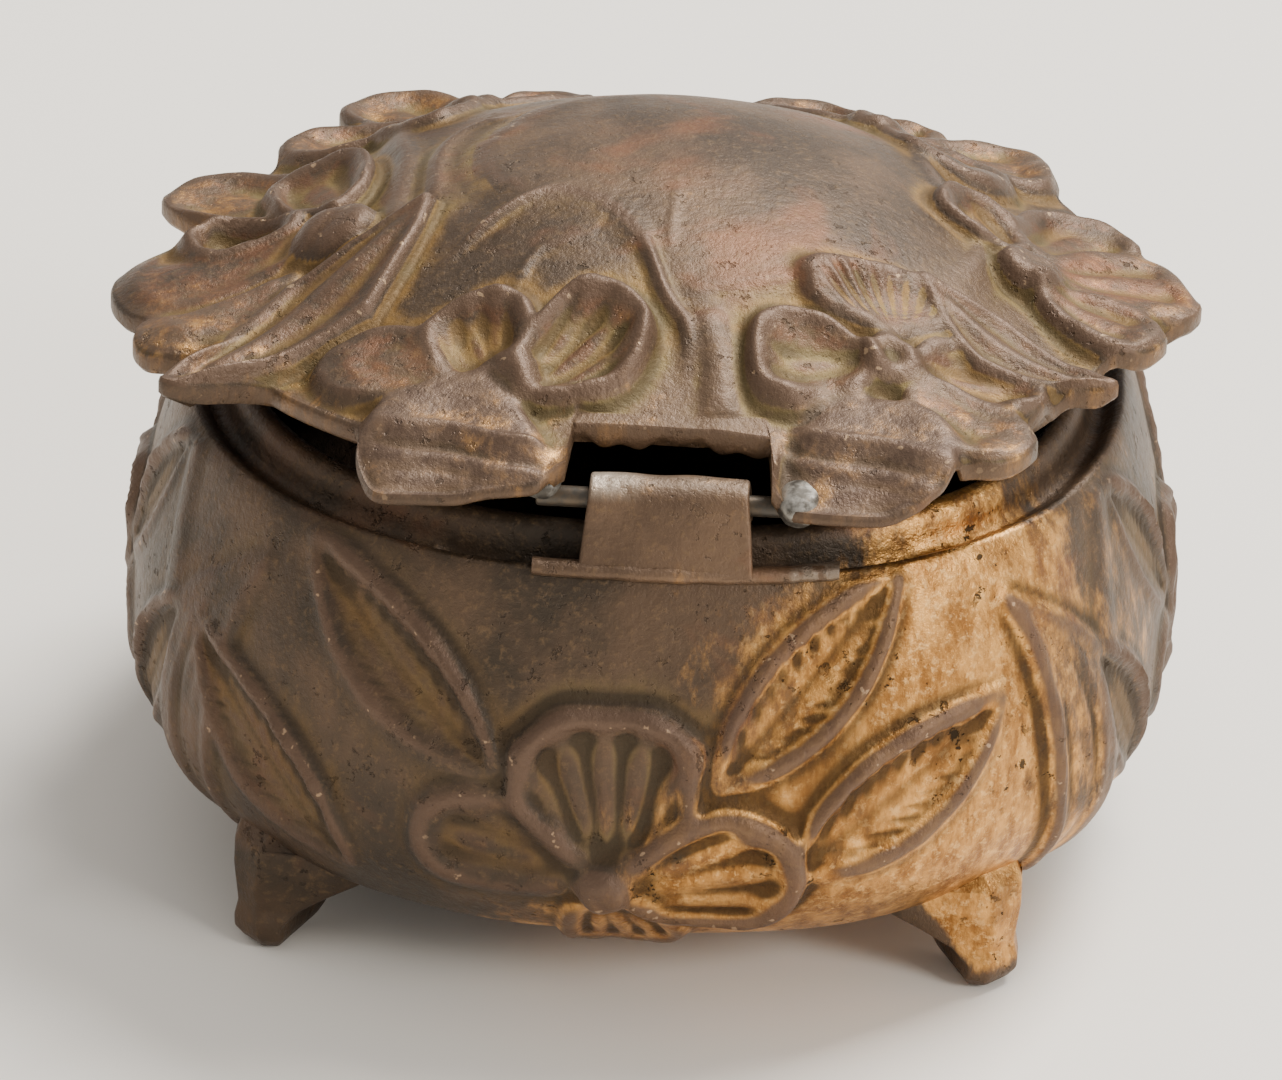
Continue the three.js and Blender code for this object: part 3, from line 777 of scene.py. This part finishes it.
def lid_work(x, y):
    """The relief of the lid above its plain dome at (x, y), and where there is metal at all."""
    work = Relief(x.shape)
    metal = half_width_of(x, y) < 31.4

    def flower_petal(root, tip, width, *shape, **more):
        nonlocal metal
        petal(work, x, y, root, tip, width, *shape, **more)
        (ru, rv), (tu, tv) = root, tip
        au, av = tu - ru, tv - rv
        length = math.hypot(au, av)
        along = ((x - ru) * au + (y - rv) * av) / length**2
        across = ((y - rv) * au - (x - ru) * av) / length
        half = width / 2 * (0.62 + 0.55 * np.clip(along, 0, 1))
        metal = metal | (np.hypot((along - 0.5) / 0.5, across / half) < 1.0)

    # stems and low leaves on the dome: points, width, height and step
    for points, width, height, step in (
            ([(-14, -13.4), (-11.9, -11.1), (-7.7, -8.1), (-4, -9.4), (-1, -13.3), (0.9, -17.9),
              (2.4, -20.1), (2.9, -23.5)], 1.2, 0.7, 0.15),
            ([(-7.7, -8.1), (-11, -5.3), (-12.5, -0.5), (-11.6, 2.7), (-7.8, 8.3), (-1, 11)], 1.4, 0.7, -0.2),
            ([(-15.6, -6), (-15.8, -1.9), (-15.8, 2), (-14.6, 6), (-11, 9)], 1.3, 0.6, -0.35),
            ([(-9.1, -16.9), (-7.6, -14), (-3.5, -13)], 0.9, 0.25, 0.15),
            ([(1, -14), (1.1, -9.9), (1.6, -7.6), (5, -6)], 1.0, 0.12, 0.1),
            ([(1.6, -17.8), (9.7, -14.7), (13, -12.6)], 1.0, 0.3, 0.15),
            ([(8.5, 23.4), (12.5, 20.4), (17.2, 13), (19.4, 4.5), (22.4, -2), (20.5, -9)], 3.2, 0.6, -0.5),
            ([(-14, 21), (-19.3, 13.6), (-18.4, 3.1), (-18.6, -5.5), (-18.6, -10.6)], 2.6, 0.6, 0.4),
            ([(3.4, -18.6), (4.6, -21.8), (5.2, -26.6)], 3.2, 0.6, 0.0)):
        stem(work, x, y, points, width, height, step)

    # opening side: each flower's knob, then its petals' tips and widths
    left_tips = [((-22.8, 30.4), 10.5), ((-28.4, 17.4), 9.5), ((-7.4, 30.4), 9), ((-20, 12.6), 7.5)]
    right_tips = [((6.6, 32.2), 10), ((16, 28.6), 8.5), ((27.4, 21.6), 10.5), ((23.6, 11.6), 8)]
    for knob, tips in (((-14.8, 19.6), left_tips), ((14.2, 18.6), right_tips)):
        for k, (tip, width) in enumerate(tips):
            flower_petal(knob, tip, width, 0.8, 0.6 - 0.2 * k, 0.7, 3, 4)
        dome_knob(work, x, y, knob, 2.3, 1.5, 0.4)

    # left and right ends
    flower_petal((-22.4, 1.0), (-34.8, 11.6), 9.5, 0.7, 0.4, 0.9, 3, 4)
    flower_petal((-22.2, -3.0), (-25.4, 8.8), 8.2, 0.9, 0.9, 1.4, 3, 4)
    flower_petal((-24.2, -9.0), (-34.2, -16.6), 8.2, 0.4, -0.7, 0.8, 2, 0)
    flower_petal((-22.5, -4.2), (-37.3, -7.2), 13.2, 0.3, -0.9, 0.7, 2, 0)
    flower_petal((-24.6, -2.6), (-33.2, -1.8), 6.8, 1.0, 2.0, 2.0, 2, 0)
    dome_knob(work, x, y, (-22.2, -6.4), 3.2, 2.6, 0.3)
    flower_petal((24.4, 0.5), (31.4, 10.2), 9.0, 0.8, 0.5, 1.0, 3, 4)
    flower_petal((26.0, -1.5), (36.8, 2.2), 12.0, 0.6, -0.3, 0.9, 3, 4)
    flower_petal((24.6, -1.0), (19.6, 4.2), 7.4, 0.8, 0.8, 1.0, 3, 0)
    flower_petal((25.6, -4.4), (34.2, -9.0), 8.2, 0.7, 0.1, 1.2, 3, 0)
    dome_knob(work, x, y, (25.2, -3.2), 2.6, 2.6, 0.5)

    # hinge side flowers
    flower_petal((-10.6, -24.6), (-22.0, -20.6), 7.4, 0.6, -0.2, 0.8, 2, 0)
    flower_petal((-9.8, -25.2), (-12.4, -17.8), 8.4, 1.0, 0.9, 0.8, 5.0, 0, depth=0.24)
    flower_petal((-8.4, -25.8), (-0.6, -19.0), 8.8, 1.1, 1.0, 0.9, 5.5, 0, depth=0.28)
    dome_knob(work, x, y, (-9.2, -24.6), 2.6, 1.4)
    flower_petal((16.2, -18.0), (14.8, -11.6), 13.0, 0.6, 0.3, 0.8, 6, 5, depth=0.5)
    flower_petal((17.0, -19.4), (26.6, -18.6), 8.0, 0.8, 0.7, 0.9, 5, 0)
    flower_petal((15.4, -20.4), (6.4, -22.6), 8.0, 1.0, 0.8, 0.9, 5.0, 0, depth=0.22)
    flower_petal((17.0, -21.0), (25.2, -27.2), 7.8, 0.7, 0.0, 0.9, 2, 4)
    dome_knob(work, x, y, (16.0, -20.0), 2.2, 2.2, 1.3)

    # two long leaves, and the petals turned down over the hinge
    for base, tip, width, bow in (((-15.4, -6.6), (-31.8, -23.6), 8.4, 0.8),
                                  ((17.6, -11.4), (31.2, -17.0), 6.2, -1.2)):
        metal = metal | (ridged_leaf(work, x, y, base, tip, width, bow, 0.9) < 0.1)
    left_corners = [(-10.6, -22.9), (-17.8, -26), (-18.8, -29.4), (-17, -33.4), (-5.4, -32.8), (-6.4, -28.6)]
    cover = turned_down(work, x, y, left_corners, ((-20, -27.2), (-6, -30.4)), 42.1, 0.42, 0.72)
    metal = metal | (cover > 0.5)
    right_corners = [(15.4, -22.4), (11.4, -23.4), (9.2, -26.6), (8.9, -32.9), (13.5, -33.6), (19, -32.6),
                     (21.4, -29.4), (20.4, -24.8)]
    cover = turned_down(work, x, y, right_corners, ((9, -26.4), (21.4, -29.8)), 42.3, 0.32, 0.72, 0.8)
    metal = metal | (cover > 0.5)
    return work, metal


def squared_notch(x, y):
    """Moves points beside the notch so that its two sides are straight and square."""
    deep = np.clip(-y / -NOTCH[2] - 1, 0, None)
    for edge in NOTCH[:2]:
        ray = edge * -y / -NOTCH[2]
        beyond = (x - ray) * (1 if edge > 0 else -1)
        x = x - edge * deep * eased(6.0, 0.0, np.abs(beyond)) * (beyond > -0.01)
    return x


lid_turn = (np.arange(LID_COLUMNS) + 0.5) * 2 * math.pi / LID_COLUMNS
toward = np.stack([np.cos(lid_turn), np.sin(lid_turn)], 1)
lid_reach = plan_reach(toward[:, 0], toward[:, 1])
probe = np.linspace(27, 42, 301)[:, None]
px, py = probe * toward[None, :, 0], probe * toward[None, :, 1]
_, metal = lid_work(squared_notch(px, py), py)
rim = np.array([probe[np.nonzero(column)[0].max(), 0] for column in metal.T])
rim = np.convolve(np.concatenate([rim[-2:], rim, rim[:2]]), np.ones(5) / 5, "valid")
hinge_way = np.minimum(toward[:, 1], -0.01)
crosses_at = toward[:, 0] * NOTCH[2] / hinge_way
in_notch = (toward[:, 1] < 0) & (crosses_at > NOTCH[0]) & (crosses_at < NOTCH[1])
jag = 0.3 * np.sin(lid_turn * 23 + 1) + 0.2 * np.sin(lid_turn * 67)
rim = np.where(in_notch, NOTCH[2] / hinge_way, rim)

MIDDLE, BORDER = 14, 26.4  # half widths where the rings get closer, and where they bend to the rim
widths = np.concatenate([np.linspace(0, MIDDLE, 20, endpoint=False),
                         np.linspace(MIDDLE, BORDER, 42, endpoint=False)])
inner = widths[:, None] * lid_reach[None]
outer = BORDER * lid_reach + np.linspace(0, 1, 44)[:, None] ** 0.9 * (rim - 0.12 - BORDER * lid_reach)
top_r = np.vstack([inner, outer])
SKIRT_GAP, RAISED_SKIRT = 9.6, 40.2  # beside the hinge the skirt stays short, clear of the pin
SKIRT = [(30.5, 39.9), (30.2, 39.2), (29.9, 38.95), (29.2, 38.95), (28.9, 39.2), (28.8, 40.2)]
x, y = top_r * toward[None, :, 0], top_r * toward[None, :, 1]
x = squared_notch(x, y)
work, _ = lid_work(x, y)
lid_height = blurred(work.height, 1, 2)
top_z = dome(x, y) + lid_height + 0.08 * uneven(x, y, 0 * x, 13, 0.3)
top = np.stack([x, y, top_z], 2)


def lid_ring(r, hang=None, high=None):
    x, y = r * toward[:, 0], r * toward[:, 1]
    x = squared_notch(x[None], y[None])[0]
    if high is None:
        part, _ = lid_work(x[None], y[None])
        high = dome(x, y) + part.height[0] - hang
    return np.stack([x, y, np.broadcast_to(high, x.shape)], 1)


edge_z = top_z[-1]
thick = np.where(work.inside[-1] < -0.5, 0.6, 1.0)  # the turned-down petals are cast thinner
ragged = jag * in_notch
rings = [lid_ring(rim, high=edge_z - 0.3), lid_ring(rim, high=edge_z - 1.1 * thick - ragged),
         lid_ring(rim - 0.3, high=edge_z - 1.45 * thick - ragged)]
for share in (0.25, 0.5, 0.75, 1.0):
    r = rim - 0.4 + (np.minimum(30.7 * lid_reach, rim - 0.5) - rim + 0.4) * share
    rings.append(lid_ring(r, 1.6 * thick))
for k, (w, high) in enumerate(SKIRT):
    kept_in = rim - 0.6 - 0.05 * k
    clipped = w * lid_reach > kept_in
    near_notch = (toward[:, 1] < 0) & (np.abs(toward[:, 0] * 30 / -hinge_way - HINGE_X) < SKIRT_GAP)
    high = np.where(near_notch, np.maximum(high, RAISED_SKIRT), high)
    high = np.where(clipped, edge_z - 1.5 * thick - jag, high)
    rings.append(lid_ring(np.minimum(w * lid_reach, kept_in), high=high))
for w in (28.2, 26, 23, 19, 14, 9, 4, 0):
    r = np.minimum(w * lid_reach, rim - 1.1)
    x, y = r * toward[:, 0], r * toward[:, 1]
    rings.append(np.stack([x, y, dome(x / 0.985, y / 0.985) - 1.6], 1))
lid_places = np.vstack([top, np.stack(rings)])
lid_places[0, :, :2] = 0
lid_places[0, :, 2] = lid_places[0, :, 2].mean()
dy, dz = lid_places[:, :, 1] - PIN_Y, lid_places[:, :, 2] - PIN_Z
lid_places[:, :, 1] = PIN_Y + dy * math.cos(DROOP) + dz * math.sin(DROOP)
lid_places[:, :, 2] = PIN_Z + dz * math.cos(DROOP) - dy * math.sin(DROOP)
lid_places[0, :, :2] = lid_places[0, :1, :2]
lid_places[-1] = lid_places[-1, :1]
lid_raised = np.zeros(lid_places.shape[:2])
lid_raised[:len(top_z)] = (work.height - blurred(work.height, 4)) / 0.35
lid_raised[len(top_z) - 3:len(top_z) + 2] += 0.7
# painted shade: how far the lid's top lies below its blurred neighbours, which the finish darkens as shade in
# the creases
lid_crease_shade = np.zeros(lid_places.shape[:2])
lid_crease_shade[:len(top_z)] = (blurred(lid_height, 2, 2) - lid_height) / 0.16
lid_leafy = np.zeros(lid_places.shape[:2])
lid_leafy[:len(top_z)] = work.inside


def lid_gold(place):
    px, py, _ = parts_of(place)
    return 0.16 + (px * px + py * py).between(0.0006, 0.0011) * 0.16


lid = spun_piece("lid_casting", lid_places, {"raised": lid_raised, "crease_shade": lid_crease_shade, "leafy": lid_leafy})
lid.data.set_sharp_from_angle(angle=math.radians(62))
lid_finish = patina("worn_gilt_lid", lid_gold, True, 0.85, (84, 70, 58), (120, 98, 80),
                    tone=(0.62, 0.575, 0.49))
lid.data.materials.append(lid_finish)
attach(lid, "lid")
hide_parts("lid_shell")

# ---- Stand, light and view -------------------------------------------------
# A plain pale table, a large soft light overhead and a weak one in front.
bm = bmesh.new()
bmesh.ops.create_grid(bm, x_segments=1, y_segments=1, size=4)
floor_mesh = bpy.data.meshes.new("table_top")
bm.to_mesh(floor_mesh)
bm.free()
table = bpy.data.objects.new("table_top", floor_mesh)
bpy.context.scene.collection.objects.link(table)
table_finish, shader = new_finish("pale_table")
joined(shader, Base_Color=rgb(240, 235, 226), Roughness=0.5)
table.data.materials.append(table_finish)

scene = bpy.context.scene
sky = bpy.data.worlds.new("studio")
scene.world = sky
sky.use_nodes = True
sky.node_tree.nodes["Background"].inputs["Color"].default_value = (1, 0.97, 0.94, 1)
sky.node_tree.nodes["Background"].inputs["Strength"].default_value = 0.72


def soft_light(name, place, target, size, watts, colour=(1, 0.97, 0.93)):
    lamp = bpy.data.lights.new(name, "AREA")
    lamp.shape, lamp.size, lamp.energy, lamp.color = "SQUARE", size, watts, colour
    holder = bpy.data.objects.new(name, lamp)
    holder.location = place
    holder.rotation_euler = (Vector(target) - Vector(place)).to_track_quat("-Z", "Y").to_euler()
    scene.collection.objects.link(holder)


soft_light("overhead", (0.35, 0.35, 0.85), (0, 0, 0.03), 0.45, 19)
soft_light("right_front", (0.6, -0.45, 0.42), (0, 0, 0.02), 0.25, 4.0)

VIEW_AT = Vector((-0.8, 0, 19.3)) * MM
VIEW_TURN, VIEW_RISE, VIEW_ROLL = (math.radians(a) for a in (2.2, 28, 2.0))
VIEW_FAR = 470 * MM
VIEW_WIDE = 90.218 * MM  # the width that the view takes in at that distance
SENSOR = 36
level_way = Vector((math.sin(VIEW_TURN), -math.cos(VIEW_TURN), 0))
back = level_way * math.cos(VIEW_RISE) + Vector((0, 0, math.sin(VIEW_RISE)))
across = Vector((0, 0, 1)).cross(back).normalized()
upward = back.cross(across)
right = across * math.cos(VIEW_ROLL) + upward * math.sin(VIEW_ROLL)
up = back.cross(right)
lens = bpy.data.cameras.new("view")
lens.sensor_width = SENSOR
lens.lens = VIEW_FAR / VIEW_WIDE * SENSOR
lens.clip_start, lens.clip_end = 0.02, 20
camera = bpy.data.objects.new("view", lens)
turned = Matrix((right, up, back)).transposed().to_4x4()
camera.matrix_world = Matrix.Translation(VIEW_AT + back * VIEW_FAR) @ turned
scene.collection.objects.link(camera)
scene.camera = camera
